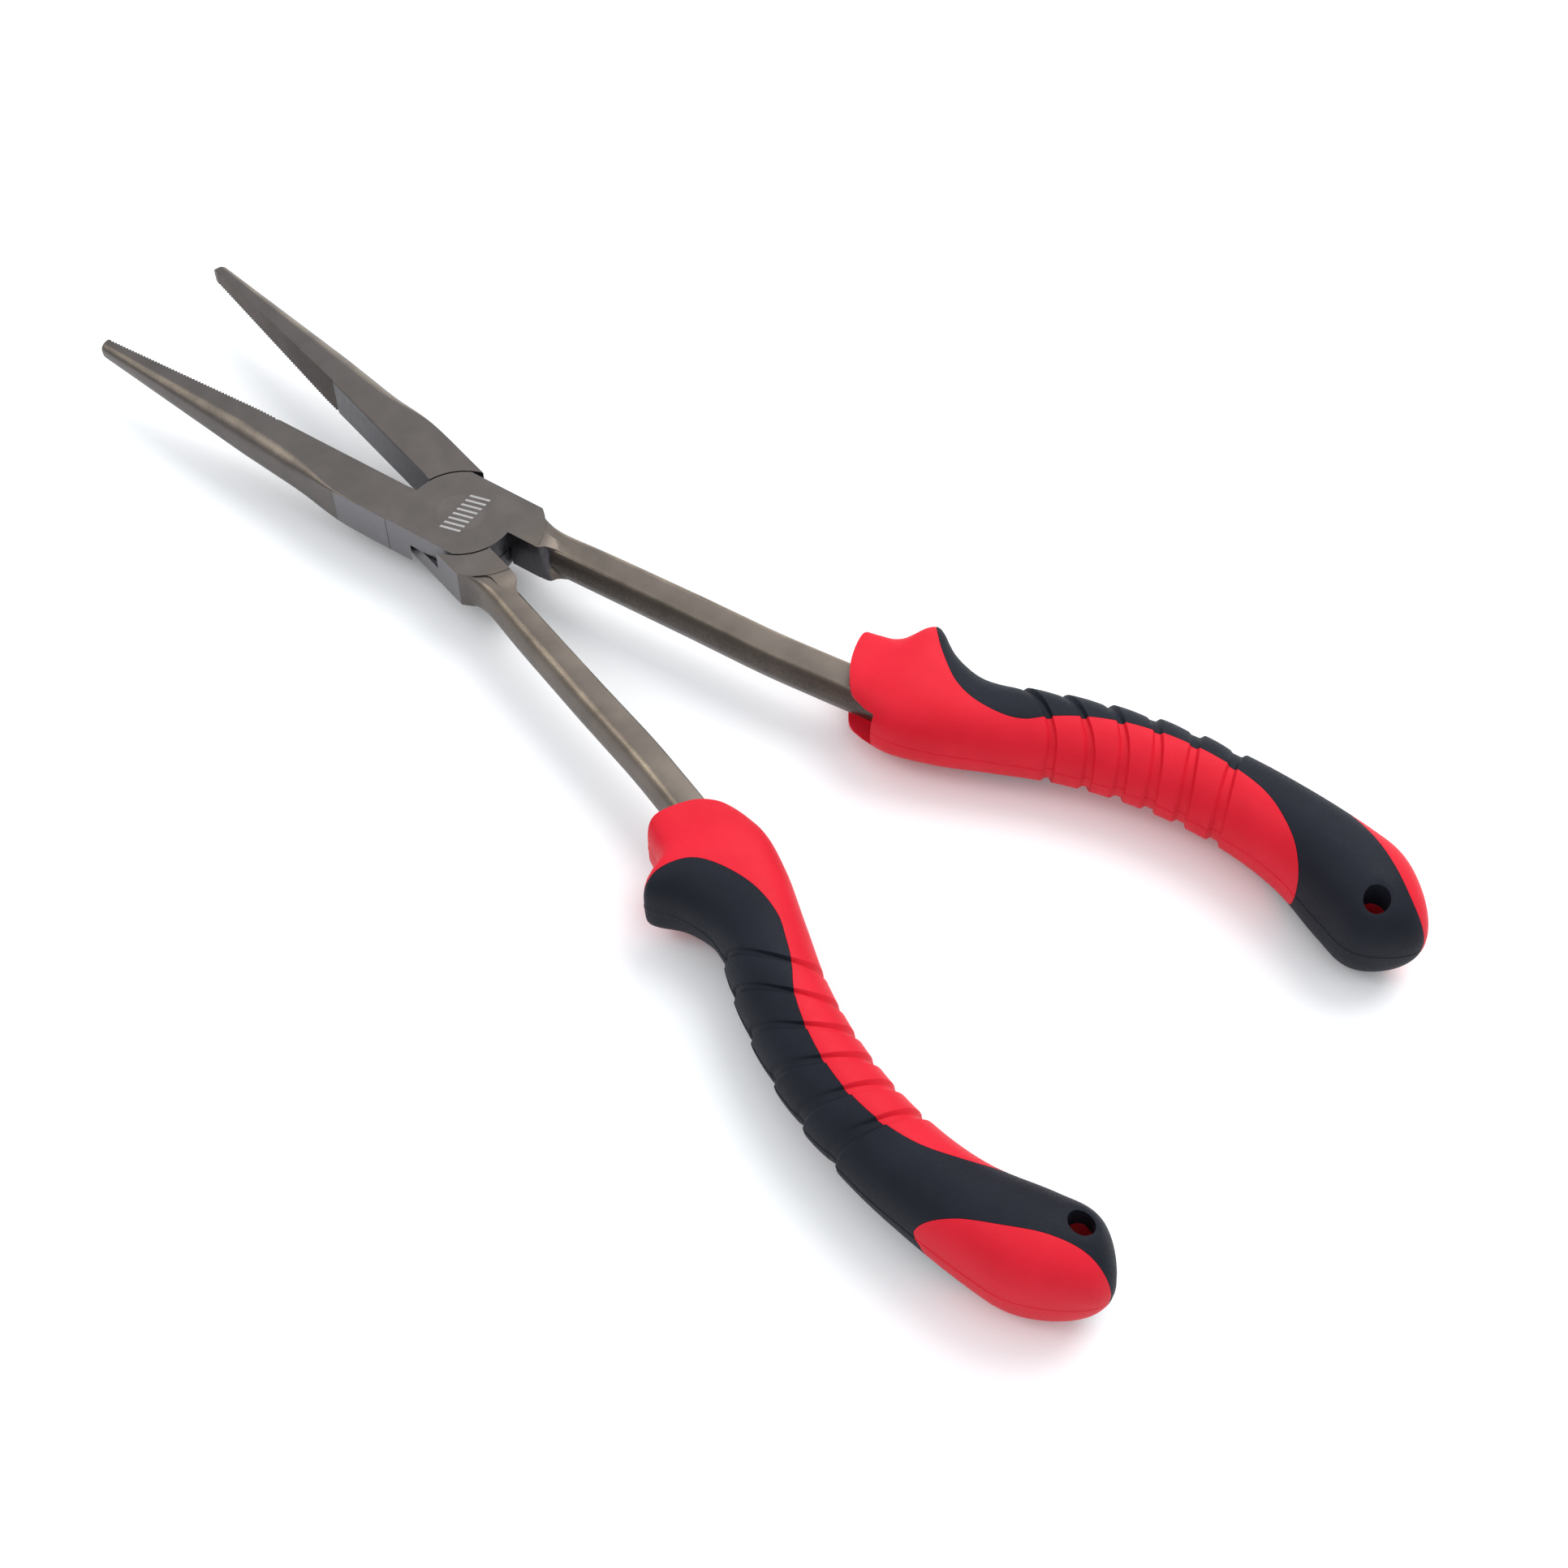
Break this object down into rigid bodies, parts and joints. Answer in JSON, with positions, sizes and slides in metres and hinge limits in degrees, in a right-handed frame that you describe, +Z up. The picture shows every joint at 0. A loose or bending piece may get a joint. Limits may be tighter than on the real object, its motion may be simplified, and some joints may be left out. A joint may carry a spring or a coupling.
{
  "type": "fishing pliers",
  "caption": "Long-nose fishing pliers: crossed steel halves on a flush rivet, slender toothed jaws and curved red and black moulded grips with thumb stops and lanyard holes.",
  "frame": {"origin": "on the pivot axis, at the underside of the flat lap joint", "axes": "+Z up along the pivot axis, +X along the pliers from the pivot to the handles, -X to the jaw tips"},
  "size_m": [0.2746, 0.1088, 0.021],
  "materials": {
    "forged_steel": "brown-grey satin, lightly brushed",
    "rivet_steel": "ground flush with the joint",
    "red_grip": "matte moulded",
    "black_grip": "matte soft-touch"
  },
  "bodies": {
    "lower_lever": {"lower_half": "forged_steel", "pivot_rivet": "rivet_steel", "lower_grip_core": "red_grip", "lower_grip_overmould": "black_grip"},
    "upper_lever": {"upper_half": "forged_steel", "upper_grip_core": "red_grip", "upper_grip_overmould": "black_grip"}
  },
  "joints": [
    {"name": "pivot", "type": "hinge", "parent": "lower_lever", "child": "upper_lever", "pos_m": [0, 0, 0.0043], "axis": [0, 0, 1], "range_deg": [-17.4, 34]}
  ]
}
